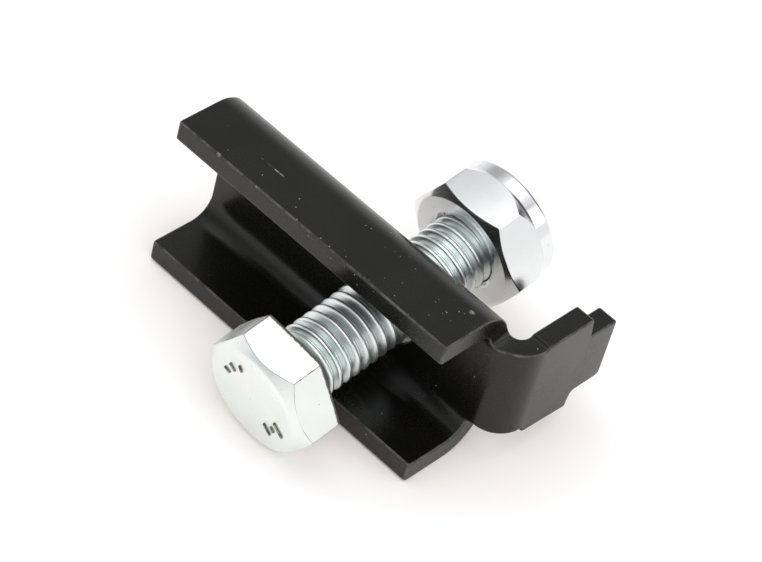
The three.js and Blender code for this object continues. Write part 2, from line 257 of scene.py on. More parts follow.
def closed_mesh(name, verts, faces):
    """One closed mesh from blocks of points, with how sharply it turns stored at each point.

    The point values "ridge" and "groove" run from 0 on flat or gently curved stretches to 1 on a
    rounded edge or in the bottom of a corner.
    """
    mesh = bpy.data.meshes.new(name)
    mesh.from_pydata(np.concatenate(verts).tolist(), [], faces)
    bm = bmesh.new()
    bm.from_mesh(mesh)
    bmesh.ops.delete(bm, geom=[v for v in bm.verts if not v.link_faces], context="VERTS")
    bmesh.ops.remove_doubles(bm, verts=bm.verts, dist=MERGE_DISTANCE)
    bmesh.ops.dissolve_degenerate(bm, edges=bm.edges, dist=MERGE_DISTANCE)
    bmesh.ops.recalc_face_normals(bm, faces=bm.faces)
    ridge = bm.verts.layers.float.new("ridge")
    groove = bm.verts.layers.float.new("groove")
    for vert in bm.verts:
        turns = [edge.calc_face_angle_signed(0) for edge in vert.link_edges]
        vert[ridge] = sharpness(max(turns))
        vert[groove] = sharpness(-min(turns))
    bm.to_mesh(mesh)
    bm.free()
    mesh.update()
    return mesh


# ---- turned and threaded forms -----------------------------------------------------------------

FLAT_STEPS = 14
CORNER_STEPS = 4


def hexagon_angles(across_flats, rounding, spin):
    """Angles round the axis, denser over the six rounded corners."""
    apothem = across_flats / 2
    corner_half = math.radians(30) - math.atan((apothem - rounding) * math.tan(math.radians(30)) / apothem)
    angles = []
    for side in range(6):
        corner = math.radians(30 + 60 * side) + spin
        angles += [corner - corner_half + 2 * corner_half * i / CORNER_STEPS for i in range(CORNER_STEPS)]
        flat_start, flat_span = corner + corner_half, math.radians(60) - 2 * corner_half
        angles += [flat_start + flat_span * i / FLAT_STEPS for i in range(FLAT_STEPS)]
    return np.array(angles)


def hexagon_radius(angle, across_flats, corner_radius, rounding, spin):
    """Distance from the axis to a hexagon at an angle round it.

    Its corners are rounded, and its flats crown by a hair so that the corners come out at corner_radius.
    """
    apothem = across_flats / 2
    sixth = math.radians(60)
    from_flat = (angle - spin + sixth / 2) % sixth - sixth / 2
    from_corner = sixth / 2 - abs(from_flat)
    corner_centre = (apothem - rounding) / math.cos(sixth / 2)
    tangent = math.atan((apothem - rounding) * math.tan(sixth / 2) / apothem)
    if abs(from_flat) <= tangent:
        radius = apothem / math.cos(from_flat)
    else:
        radius = (corner_centre * math.cos(from_corner)
                  + math.sqrt(rounding ** 2 - (corner_centre * math.sin(from_corner)) ** 2))
    return apothem + (radius - apothem) * (corner_radius - apothem) / (corner_centre + rounding - apothem)


def revolve(angles, profile_at):
    """Rows x columns of points: profile_at(angle) gives each column's (radius, along) polyline."""
    columns = [profile_at(angle) for angle in angles]
    return np.stack([from_bolt_axis(p[:, 0], angle, p[:, 1]) for angle, p in zip(angles, columns)], axis=1)


def thread_profile(grow):
    """(offset, radius) points over one pitch, from the crest's lower edge, with rounded corners."""
    crest = THREAD_CREST_RADIUS + grow
    root = crest - THREAD_DEPTH
    flank = (THREAD_PITCH - THREAD_CREST_WIDTH - THREAD_ROOT_WIDTH) / 2
    corners = [
        (-THREAD_ROOT_WIDTH / 2 - flank, root, 0),
        (-flank, root, THREAD_ROOT_ROUNDING),
        (0, crest, THREAD_CREST_ROUNDING),
        (THREAD_CREST_WIDTH, crest, THREAD_CREST_ROUNDING),
        (THREAD_CREST_WIDTH + flank, root, THREAD_ROOT_ROUNDING),
        (THREAD_CREST_WIDTH + flank + THREAD_ROOT_WIDTH / 2, root, 0),
    ]
    return rounded_profile(corners, steps=4)


def threaded_surface(angles, start, end, grow, shape):
    """A helix-aligned grid from start to end; shape(along, radius) adds run-outs and chamfers."""
    profile = thread_profile(grow)
    first_turn = math.floor((start - THREAD_START) / THREAD_PITCH) - 2
    last_turn = math.ceil((end - THREAD_START) / THREAD_PITCH) + 2
    wrapped = np.mod(angles, FULL_TURN)
    order = np.argsort(wrapped)
    wrapped = np.append(wrapped[order], FULL_TURN + wrapped[order][0])
    rise = THREAD_PITCH * wrapped / FULL_TURN
    rows = []
    for turn in range(first_turn, last_turn + 1):
        for offset in profile[:-1, 0]:
            along = np.clip(THREAD_START + turn * THREAD_PITCH + offset + rise, start, end)
            phase = np.mod(along - THREAD_START - rise - profile[0, 0], THREAD_PITCH) + profile[0, 0]
            radius = np.interp(phase, profile[:, 0], profile[:, 1])
            rows.append(from_bolt_axis(shape(along, radius), wrapped, along))
    return np.stack(rows)


def add_open_grid(verts, faces, points):
    """As add_grid, but the last column isn't joined to the first: merging does that."""
    rows, columns = points.shape[:2]
    first = sum(len(block) for block in verts)
    verts.append(points.reshape(-1, 3))
    for row in range(rows - 1):
        for column in range(columns - 1):
            at = first + row * columns + column
            faces.append((at, at + 1, at + columns + 1, at + columns))


# ---- bracket -----------------------------------------------------------------------------------

BEND_ROWS = 18
TONGUE_BEND_ROWS = 18
HOLE_STEPS = 72
EDGE_STEPS = 4
PANEL_STEP = 2.4 * MM
TONGUE_PANELS = 6
CUT_TOLERANCE = 1e-7
CUT_INTO_TRIANGLES = 0             # kinds of result that delaunay_2d_cdt gives
CUT_INTO_PANELS = 4

web_end = HALF_HEIGHT - BEND_OUTER_RADIUS                            # where the web meets its bends
bend_end = web_end + BEND_MIDDLE_RADIUS * QUARTER_TURN               # along the unfolded middle surface
blank_edge = bend_end - FLANGE_TIP_Y - BEND_OUTER_RADIUS
tongue_bend_start = TONGUE_FACE_X - TONGUE_BEND_OUTER_RADIUS
tongue_bend_end = tongue_bend_start + TONGUE_BEND_MIDDLE_RADIUS * QUARTER_TURN
tongue_bend_y = TONGUE_BEND_OUTER_RADIUS - SHEET                     # height of its centre over the web


def unfolded(y):
    """Place along the blank of a point that ends up at height y on the tongue."""
    return tongue_bend_end + y - tongue_bend_y


def closed_loop(corners, steps):
    """A closed outline from (u, w, rounding) corners, starting half way along its last side."""
    halfway = [(corners[-1][i] + corners[0][i]) / 2 for i in range(2)] + [0]
    return rounded_profile([halfway, *corners, halfway], steps)[:-1]


def blank_outline():
    """The flat blank's outline, counter-clockwise, in u along the part and w across it."""
    shoulder_start, shoulder_end = unfolded(SHOULDER_START_Y), unfolded(SHOULDER_END_Y)
    tip_end = unfolded(TONGUE_END_Y)
    shoulder_drop = SHOULDER_BOTTOM + SHOULDER_BOTTOM_SLOPE * (SHOULDER_END_Y - SHOULDER_START_Y)
    return closed_loop([
        (-HALF_LENGTH, -blank_edge, PLATE_CORNER),
        (HALF_LENGTH, -blank_edge, PLATE_CORNER),
        (HALF_LENGTH, NECK_BOTTOM, NECK_FILLET),
        (shoulder_start, NECK_BOTTOM, STEP_FILLET),
        (shoulder_start, SHOULDER_BOTTOM, PLATE_CORNER),
        (shoulder_end, shoulder_drop, STEP_CORNER_RADIUS),
        (shoulder_end + STEP_FILLET, TIP_BOTTOM, NECK_FILLET),
        (tip_end, TIP_BOTTOM, TIP_CORNER_RADIUS),
        (tip_end, TIP_TOP, PLATE_CORNER),
        (shoulder_end + TIP_STEP_SETBACK, TIP_TOP, STEP_FILLET),
        (shoulder_end, SHOULDER_TOP, STEP_CORNER_RADIUS),
        (shoulder_start + SHOULDER_RAMP[1], SHOULDER_TOP, STEP_FILLET),
        (shoulder_start + SHOULDER_RAMP[0], NECK_TOP, STEP_FILLET),
        (HALF_LENGTH, NECK_TOP, NECK_FILLET),
        (HALF_LENGTH, blank_edge, PLATE_CORNER),
        (-HALF_LENGTH, blank_edge, PLATE_CORNER),
    ], steps=6)


def hole_outline():
    """The bolt hole in the flat, clockwise, so that the steel lies on the same side as for the outline."""
    angles = -np.arange(HOLE_STEPS) * FULL_TURN / HOLE_STEPS
    circle = np.stack([np.cos(angles), np.sin(angles)], axis=1)
    return np.array([BOLT_HOLE_X, 0.0]) + BOLT_HOLE_RADIUS * circle


def inward_mitres(loop):
    """For each corner of a loop, the step that moves both its sides inwards by one unit."""
    along = np.roll(loop, -1, axis=0) - loop
    along /= np.linalg.norm(along, axis=1)[:, None]
    after = np.stack([-along[:, 1], along[:, 0]], axis=1)
    before = np.roll(after, 1, axis=0)
    return (before + after) / (1 + (before * after).sum(axis=1))[:, None]


def inside(point, polygon):
    """Even-odd test of a point against a closed polygon."""
    x, y = point
    hit = False
    for (x0, y0), (x1, y1) in zip(polygon, polygon[1:] + polygon[:1]):
        if (y0 > y) != (y1 > y) and x < (x1 - x0) * (y - y0) / (y1 - y0) + x0:
            hit = not hit
    return hit


def blank_rows():
    """Constraint lines, as point pairs, that cut the blank along its bends and into even panels."""
    lines = []
    far = blank_edge + MM
    across = [sign * (web_end + (bend_end - web_end) * i / BEND_ROWS)
              for sign in (-1, 1) for i in range(BEND_ROWS + 1)]
    flange_panels = round((blank_edge - bend_end) / PANEL_STEP)
    across += [sign * (bend_end + (blank_edge - bend_end) * i / flange_panels)
               for sign in (-1, 1) for i in range(1, flange_panels)]
    for w in across:
        end = HALF_LENGTH + (NECK_DISH_END + MM if abs(w) < NECK_TOP else 0)
        lines.append(((-HALF_LENGTH, w), (end, w)))
    panels = round(2 * HALF_LENGTH / PANEL_STEP)
    for i in range(1, panels):
        u = -HALF_LENGTH + 2 * HALF_LENGTH * i / panels
        lines.append(((u, -far), (u, far)))
    for i in range(TONGUE_BEND_ROWS + 1):
        u = tongue_bend_start + (tongue_bend_end - tongue_bend_start) * i / TONGUE_BEND_ROWS
        lines.append(((u, -1.5 * web_end), (u, 1.5 * web_end)))
    lines.append(((HALF_LENGTH, -1.5 * web_end), (HALF_LENGTH, 1.5 * web_end)))
    for i in range(1, TONGUE_PANELS):
        u = tongue_bend_end + (unfolded(TONGUE_END_Y) - tongue_bend_end) * i / TONGUE_PANELS
        lines.append(((u, -1.5 * web_end), (u, 1.5 * web_end)))
    return lines


def smoothstep(t):
    t = min(1.0, max(0.0, t))
    return t * t * (3 - 2 * t)


def fold(u, w, offset):
    """Where a point of the flat blank lies on the folded bracket, offset from its middle towards the back."""
    reach = abs(w)
    if reach <= web_end:
        lift, z = offset, reach
    elif reach <= bend_end:
        angle = (reach - web_end) / BEND_MIDDLE_RADIUS
        lift = (BEND_MIDDLE_RADIUS + offset) * math.cos(angle) - BEND_MIDDLE_RADIUS
        z = web_end + (BEND_MIDDLE_RADIUS + offset) * math.sin(angle)
    else:
        lift = -BEND_MIDDLE_RADIUS - (reach - bend_end)
        z = web_end + BEND_MIDDLE_RADIUS + offset
    if u > HALF_LENGTH:
        keep = 1 - smoothstep((u - HALF_LENGTH) / NECK_DISH_END)
        lift = offset + (lift - offset) * keep
        z = reach + (z - reach) * keep
    z = math.copysign(z, w)
    if u <= tongue_bend_start:
        return u, -SHEET / 2 + lift, z
    radius = TONGUE_BEND_MIDDLE_RADIUS - lift
    if u <= tongue_bend_end:
        angle = (u - tongue_bend_start) / TONGUE_BEND_MIDDLE_RADIUS
        return (tongue_bend_start + radius * math.sin(angle), tongue_bend_y - radius * math.cos(angle), z)
    return tongue_bend_start + radius, tongue_bend_y + u - tongue_bend_end, z


def panelled_blank(loops):
    """The flat blank inside its loops, cut into panels: its points and its faces."""
    points, edges = [], []
    for loop in loops:
        first = len(points)
        points += loop.tolist()
        edges += [(first + i, first + (i + 1) % len(loop)) for i in range(len(loop))]
    for start, end in blank_rows():
        edges.append((len(points), len(points) + 1))
        points += [start, end]
    places = [Vector(p) for p in points]
    verts, _, faces = delaunay_2d_cdt(places, edges, [], CUT_INTO_PANELS, CUT_TOLERANCE)[:3]
    verts = np.array([v[:] for v in verts])
    outline, hole = (loop.tolist() for loop in loops)
    kept = []
    for face in faces:
        middle = verts[list(face)].mean(axis=0)
        if inside(middle, outline) and not inside(middle, hole):
            kept.append(list(face))
    return verts, kept


def points_on_loop(loop, verts):
    """Every panel point on a loop, in order round it, as (side, fraction along that side)."""
    found = []
    for side, (start, end) in enumerate(zip(loop, np.roll(loop, -1, axis=0))):
        along = end - start
        length = np.linalg.norm(along)
        travelled = (verts - start) @ along / length
        aside = np.abs((verts - start) @ np.array([-along[1], along[0]])) / length
        between = (travelled > -CUT_TOLERANCE) & (travelled < length - CUT_TOLERANCE)
        on_side = sorted(travelled[between & (aside < CUT_TOLERANCE)])
        found += [(side, max(0.0, distance) / length) for distance in on_side]
    return found


def edge_rows():
    """(inset from the outline, offset through the sheet) over one rounded edge, back face to front face."""
    r, half = SHEET_EDGE_ROUNDING, SHEET / 2
    turns = [QUARTER_TURN * i / EDGE_STEPS for i in range(EDGE_STEPS + 1)]
    back = [(r - r * math.sin(t), half - r + r * math.cos(t)) for t in turns] + [(0, half - 2 * r)]
    return back + [(inset, -offset) for inset, offset in reversed(back)]


def folded_bracket():
    """The bracket as one closed mesh: both faces of the blank, and rounded edges round its loops."""
    loops = [blank_outline(), hole_outline()]
    mitres = [inward_mitres(loop) for loop in loops]
    inset_loops = [loop + SHEET_EDGE_ROUNDING * mitre for loop, mitre in zip(loops, mitres)]
    verts, panels = panelled_blank(inset_loops)
    blocks, faces = [], []
    for offset in (SHEET / 2, -SHEET / 2):
        first = sum(len(block) for block in blocks)
        blocks.append(np.array([fold(u, w, offset) for u, w in verts]))
        faces += [tuple(first + i for i in panel) for panel in panels]
    for loop, mitre, inset_loop in zip(loops, mitres, inset_loops):
        places = points_on_loop(inset_loop, verts)
        rows = []
        for inset, offset in edge_rows():
            row = loop + inset * mitre
            ahead = np.roll(row, -1, axis=0)
            rows.append([fold(*(row[side] + fraction * (ahead[side] - row[side])), offset)
                         for side, fraction in places])
        add_grid(blocks, faces, np.array(rows))
    return closed_mesh("bracket", blocks, faces)


def make_bracket():
    piece = new_piece("bracket", folded_bracket())
    smooth_by_area(piece)
    return piece


# ---- bolt, nut and ring ------------------------------------------------------------------------

MARK_END_STEPS = 6
RING_STEPS = 96


def mark_outline(x, z, length, degrees, width):
    """A straight bar with round ends, counter-clockwise, about (x, z)."""
    near, far = np.linspace(-90, 90, MARK_END_STEPS), np.linspace(90, 270, MARK_END_STEPS)
    ends = np.radians(np.concatenate([near, far]))
    shift = np.repeat([(length - MARK_WIDTH) / 2, -(length - MARK_WIDTH) / 2], MARK_END_STEPS)
    local = np.stack([shift + width / 2 * np.cos(ends), width / 2 * np.sin(ends)])
    turn = math.radians(degrees)
    return np.stack([x + local[0] * math.cos(turn) - local[1] * math.sin(turn),
                     z + local[0] * math.sin(turn) + local[1] * math.cos(turn)], axis=1)


def add_marked_face(verts, faces, angles, face):
    """The flat middle of the head's face, with raised ticks, out to a ring of the head's own columns."""
    rim = MARK_FIELD_RADIUS * np.stack([np.sin(angles), np.cos(angles)], axis=1)
    feet = [mark_outline(*mark, MARK_WIDTH) for mark in MARKS]
    aprons = [mark_outline(*mark, MARK_WIDTH + 2 * MARK_SIDE_SLOPE) for mark in MARKS]
    tops = [mark_outline(*mark, MARK_WIDTH - 2 * MARK_SIDE_SLOPE) for mark in MARKS]
    points, edges = [], []
    for loop in [rim, *feet, *aprons]:
        first = len(points)
        points += loop.tolist()
        edges += [(first + i, first + (i + 1) % len(loop)) for i in range(len(loop))]
    places = [Vector(p) for p in points]
    flat, _, triangles = delaunay_2d_cdt(places, edges, [], CUT_INTO_TRIANGLES, CUT_TOLERANCE)[:3]
    flat = np.array([v[:] for v in flat])
    first = sum(len(block) for block in verts)
    verts.append(from_bolt_frame(flat[:, 0], face, flat[:, 1]))
    for triangle in triangles:
        middle = flat[list(triangle)].mean(axis=0)
        if inside(middle, rim.tolist()) and not any(inside(middle, foot.tolist()) for foot in feet):
            faces.append(tuple(first + i for i in triangle))
    for foot, top in zip(feet, tops):
        rows = np.stack([from_bolt_frame(foot[:, 0], face, foot[:, 1]),
                         from_bolt_frame(top[:, 0], face - MARK_HEIGHT, top[:, 1])])
        add_grid(verts, faces, rows)
        count = sum(len(block) for block in verts)
        faces.append(tuple(range(count - len(top), count)))


def make_bolt():
    angles = hexagon_angles(HEAD_ACROSS_FLATS, HEAD_CORNER_ROUNDING, HEAD_SPIN)
    face = HEAD_SEAT - HEAD_HEIGHT
    cone = HEAD_FACE_CHAMFER / (HEAD_CORNER_RADIUS - HEAD_FACE_RADIUS)
    thread_start = HEAD_SEAT + 0.4 * MM

    def head_profile(angle):
        """From the rim of the marked face, over the head's side and underside, to the neck."""
        side = hexagon_radius(angle, HEAD_ACROSS_FLATS, HEAD_CORNER_RADIUS, HEAD_CORNER_ROUNDING, HEAD_SPIN)
        return rounded_profile([
            (MARK_FIELD_RADIUS, face, 0),
            (HEAD_FACE_RADIUS - HEAD_FACE_BLEND, face, 0.8 * MM),
            (HEAD_FACE_RADIUS + HEAD_FACE_BLEND / 2, face + cone * HEAD_FACE_BLEND / 4, 0.8 * MM),
            (side, face + cone * (side - HEAD_FACE_RADIUS), 0.16 * MM),
            (side, HEAD_SEAT - HEAD_BACK_CHAMFER, 0.05 * MM),
            (side - HEAD_BACK_CHAMFER, HEAD_SEAT, 0.05 * MM),
            (BOLT_NECK_RADIUS, HEAD_SEAT, 0.35 * MM),
            (BOLT_NECK_RADIUS, thread_start, 0),
        ], steps=4)

    def shank(along, radius):
        """The thread runs out into the neck at one end and into the tip's chamfer at the other."""
        grown = np.clip((along - HEAD_SEAT - BOLT_NECK_LENGTH + THREAD_RUN_OUT / 2) / THREAD_RUN_OUT, 0, 1)
        grown = grown ** 2 * (3 - 2 * grown)
        radius = BOLT_NECK_RADIUS + (radius - BOLT_NECK_RADIUS) * grown
        return np.minimum(radius, THREAD_CREST_RADIUS - BOLT_TIP_CHAMFER + BOLT_TIP - along)

    def tip_profile(angle):
        end = THREAD_CREST_RADIUS - BOLT_TIP_CHAMFER
        return np.array([(end, BOLT_TIP), (0.97 * end, BOLT_TIP), (0.5 * end, BOLT_TIP), (0, BOLT_TIP)])

    verts, faces = [], []
    add_marked_face(verts, faces, angles, face)
    add_grid(verts, faces, revolve(angles, head_profile))
    add_open_grid(verts, faces, threaded_surface(angles, thread_start, BOLT_TIP, 0, shank))
    add_grid(verts, faces, revolve(angles, tip_profile))
    piece = new_piece("bolt", closed_mesh("bolt", verts, faces))
    smooth_by_area(piece)
    return piece


def make_nut():
    angles = hexagon_angles(NUT_ACROSS_FLATS, NUT_CORNER_ROUNDING, NUT_SPIN)
    end = NUT_SEAT + NUT_HEIGHT
    seat_cone = NUT_FACE_CHAMFER / (NUT_CORNER_RADIUS - NUT_FACE_RADIUS)
    shoulder_share = (NUT_SHOULDER_RADIUS - COLLAR_RADIUS) / (NUT_CORNER_RADIUS - COLLAR_RADIUS)
    major = THREAD_CREST_RADIUS + NUT_THREAD_CLEARANCE
    countersink_cone = (NUT_COUNTERSINK_RADIUS - major + THREAD_DEPTH) / NUT_COUNTERSINK_DEPTH
    thread_start = NUT_SEAT + (NUT_COUNTERSINK_RADIUS - major) / countersink_cone
    thread_end = NUT_SEAT + NUT_THREAD_LENGTH

    def body_profile(angle):
        """From the countersink, over the outside and the rolled lip, into the ring's pocket."""
        side = hexagon_radius(angle, NUT_ACROSS_FLATS, NUT_CORNER_RADIUS, NUT_CORNER_ROUNDING, NUT_SPIN)
        shoulder = COLLAR_RADIUS + shoulder_share * (side - COLLAR_RADIUS)
        return rounded_profile([
            (major, thread_start, 0),
            (NUT_COUNTERSINK_RADIUS, NUT_SEAT, 0.15 * MM),
            (NUT_FACE_RADIUS, NUT_SEAT, 0.35 * MM),
            (side, NUT_SEAT + seat_cone * (side - NUT_FACE_RADIUS), 0.2 * MM),
            (side, NUT_SEAT + shoulder_along(side), 0.12 * MM),
            (shoulder, NUT_SEAT + shoulder_along(shoulder), 0.2 * MM),
            (COLLAR_RADIUS, NUT_SEAT + COLLAR_START, 0.5 * MM),
            (COLLAR_RADIUS, NUT_SEAT + COLLAR_END, 0.6 * MM),
            (CRIMP_OUTER_RADIUS, NUT_SEAT + CRIMP_START, 0.3 * MM),
            (LIP_RADIUS, end, 0.3 * MM),
            (LIP_RADIUS, NUT_SEAT + RING_POCKET_END, 0.12 * MM),
            (RING_POCKET_RADIUS, NUT_SEAT + RING_POCKET_END, 0.05 * MM),
            (RING_POCKET_RADIUS, thread_end, 0.05 * MM),
            (major, thread_end, 0),
        ], steps=6)

    def shoulder_along(radius):
        """How far past the seat the turned shoulder has come in to this radius."""
        return float(np.interp(radius, [COLLAR_RADIUS, NUT_SHOULDER_RADIUS, NUT_CORNER_RADIUS],
                               [COLLAR_START, NUT_SHOULDER_END, NUT_HEX_END]))

    def tapped(along, radius):
        """The thread opens out into the countersink at one end and into the ring's pocket at the other."""
        countersink = NUT_COUNTERSINK_RADIUS - countersink_cone * (along - NUT_SEAT)
        pocket_chamfer = major - (thread_end - along)
        return np.maximum(radius, np.maximum(countersink, pocket_chamfer))

    verts, faces = [], []
    add_grid(verts, faces, revolve(angles, body_profile))
    thread = threaded_surface(angles, thread_start, thread_end, NUT_THREAD_CLEARANCE, tapped)
    add_open_grid(verts, faces, thread)
    piece = new_piece("nut", closed_mesh("nut", verts, faces))
    smooth_by_area(piece)
    return piece


def make_ring():
    low = NUT_SEAT + NUT_THREAD_LENGTH + RING_GAP
    high = NUT_SEAT + RING_POCKET_END - RING_GAP
    nose_end = NUT_SEAT + NUT_HEIGHT - RING_NOSE_RECESS
    outer = RING_POCKET_RADIUS - RING_GAP
    angles = np.arange(RING_STEPS) * FULL_TURN / RING_STEPS

    def profile(angle):
        return rounded_profile([
            (RING_INNER_RADIUS, (low + high) / 2, 0),
            (RING_INNER_RADIUS, low, 0.3 * MM),
            (outer, low, 0.2 * MM),
            (outer, high, 0.2 * MM),
            (RING_NOSE_RADIUS, high, 0.1 * MM),
            (RING_NOSE_RADIUS, nose_end, 0.2 * MM),
            (RING_INNER_RADIUS, nose_end, 0.2 * MM),
            (RING_INNER_RADIUS, (low + high) / 2, 0),
        ], steps=5)

    verts, faces = [], []
    add_grid(verts, faces, revolve(angles, profile))
    piece = new_piece("ring", closed_mesh("ring", verts, faces))
    smooth_by_area(piece)
    return piece


# ---- materials ---------------------------------------------------------------------------------

class Finish:
    """One procedural material: adds shader nodes and links them as they are made."""

    def __init__(self, name):
        self.material = bpy.data.materials.new(name)
        self.material.use_nodes = True
        self.tree = self.material.node_tree
        self.shader = self.tree.nodes["Principled BSDF"]
        self.place = self.node("ShaderNodeTexCoord").outputs["Object"]

    def node(self, kind, **settings):
        added = self.tree.nodes.new(kind)
        for setting, value in settings.items():
            setattr(added, setting, value)
        return added

    def feed(self, socket, value):
        """Links a socket to another node's output, or sets it to a constant."""
        if isinstance(value, bpy.types.NodeSocket):
            self.tree.links.new(value, socket)
        else:
            socket.default_value = value

    def noise(self, size, detail=3.0, place=None):
        """Cloudy values about 0.5, with features of the given size in metres."""
        added = self.node("ShaderNodeTexNoise")
        self.feed(added.inputs["Vector"], self.place if place is None else place)
        self.feed(added.inputs["Scale"], 1 / size)
        self.feed(added.inputs["Detail"], detail)
        return added.outputs["Fac"]

    def cells(self, size):
        """Distance from the nearest of many scattered points, in cell sizes, and each one's random value."""
        added = self.node("ShaderNodeTexVoronoi")
        self.feed(added.inputs["Vector"], self.place)
        self.feed(added.inputs["Scale"], 1 / size)
        split = self.node("ShaderNodeSeparateColor")
        self.feed(split.inputs["Color"], added.outputs["Color"])
        return added.outputs["Distance"], split.outputs["Red"]

    def attribute(self, name):
        return self.node("ShaderNodeAttribute", attribute_name=name).outputs["Fac"]

    def ramp(self, value, start, end, low=0.0, high=1.0):
        """Smoothly maps start..end onto low..high and holds the ends."""
        added = self.node("ShaderNodeMapRange", interpolation_type="SMOOTHSTEP")
        for socket, number in zip(added.inputs, (value, start, end, low, high)):
            self.feed(socket, number)
        return added.outputs["Result"]

    def maths(self, operation, a, b=0.0):
        added = self.node("ShaderNodeMath", operation=operation)
        self.feed(added.inputs[0], a)
        self.feed(added.inputs[1], b)
        return added.outputs["Value"]

    def product(self, *values):
        result = values[0]
        for value in values[1:]:
            result = self.maths("MULTIPLY", result, value)
        return result

    def total(self, *values):
        result = values[0]
        for value in values[1:]:
            result = self.maths("ADD", result, value)
        return result

    def vector(self, operation, a, b=(0.0, 0.0, 0.0)):
        added = self.node("ShaderNodeVectorMath", operation=operation)
        self.feed(added.inputs[0], a)
        self.feed(added.inputs[1], b)
        return added.outputs["Value" if operation in ("DOT_PRODUCT", "DISTANCE", "LENGTH") else "Vector"]

    def blend(self, factor, a, b):
        """Mixes two colours."""
        added = self.node("ShaderNodeMix", data_type="RGBA")
        colours = [socket for socket in added.inputs if socket.type == "RGBA"]
        self.feed(added.inputs["Factor"], factor)
        for socket, colour in zip(colours, (a, b)):
            self.feed(socket, (*colour, 1) if isinstance(colour, tuple) else colour)
        return next(socket for socket in added.outputs if socket.type == "RGBA")

    def relief(self, *layers):
        """Bumps the surface by (height, depth in metres) layers, one on top of the other."""
        normal = None
        for height, depth in layers:
            added = self.node("ShaderNodeBump")
            self.feed(added.inputs["Height"], height)
            self.feed(added.inputs["Distance"], depth)
            if normal is not None:
                self.feed(added.inputs["Normal"], normal)
            normal = added.outputs["Normal"]
        self.feed(self.shader.inputs["Normal"], normal)

    def surface(self, colour, roughness, metallic=0.0):
        self.feed(self.shader.inputs["Base Color"], (*colour, 1) if isinstance(colour, tuple) else colour)
        self.feed(self.shader.inputs["Roughness"], roughness)
        self.feed(self.shader.inputs["Metallic"], metallic)
        return self.material

    def round_bolt_axis(self):
        """Distance from the bolt's axis and distance along it, at each shaded point."""
        from_origin = self.vector("SUBTRACT", self.place, tuple(AXIS_ORIGIN))
        along = self.vector("DOT_PRODUCT", from_origin, tuple(AXIS))
        across = self.vector("CROSS_PRODUCT", from_origin, tuple(AXIS))
        return self.vector("LENGTH", across), along

    def turning_lines(self, size):
        """Fine lines that run round the bolt's axis, as rolling and turning leave them."""
        radius, along = self.round_bolt_axis()
        joined = self.node("ShaderNodeCombineXYZ")
        self.feed(joined.inputs[0], radius)
        self.feed(joined.inputs[1], along)
        drift = self.product(self.noise(4 * MM), size)
        self.feed(joined.inputs[2], drift)
        return self.noise(size, 2.0, joined.outputs["Vector"])

    def near_point(self, point, reach):
        """Small ragged flecks that crowd round a point, out to the given reach."""
        ragged = self.vector("ADD", self.place, self.scatter(0.5 * reach))
        close = self.ramp(self.vector("DISTANCE", ragged, tuple(point)), 0.2 * reach, reach, 1.0, 0.0)
        flecks = self.ramp(self.noise(0.13 * MM, 1.0), 0.46, 0.54)
        return self.product(close, flecks)

    def scatter(self, amount):
        """A small random offset for each place."""
        cloud = self.node("ShaderNodeTexNoise")
        self.feed(cloud.inputs["Vector"], self.place)
        self.feed(cloud.inputs["Scale"], 1 / amount)
        centred = self.vector("SUBTRACT", cloud.outputs["Color"], (0.5, 0.5, 0.5))
        return self.vector("MULTIPLY", centred, (amount, amount, amount))

    def scratch(self, start, end, width):
        """1 along a thin broken line between two points."""
        start, end = Vector(start), Vector(end)
        direction = (end - start).normalized()
        from_start = self.vector("SUBTRACT", self.place, tuple(start))
        along = self.vector("DOT_PRODUCT", from_start, tuple(direction))
        aside = self.vector("LENGTH", self.vector("CROSS_PRODUCT", from_start, tuple(direction)))
        on_line = self.ramp(aside, 0.3 * width, width, 1.0, 0.0)
        length = (end - start).length
        begun = self.ramp(along, 0.0, 0.2 * length)
        not_over = self.ramp(along, 0.8 * length, length, 1.0, 0.0)
        broken = self.ramp(self.noise(0.9 * MM), 0.4, 0.55)
        return self.product(on_line, begun, not_over, broken)


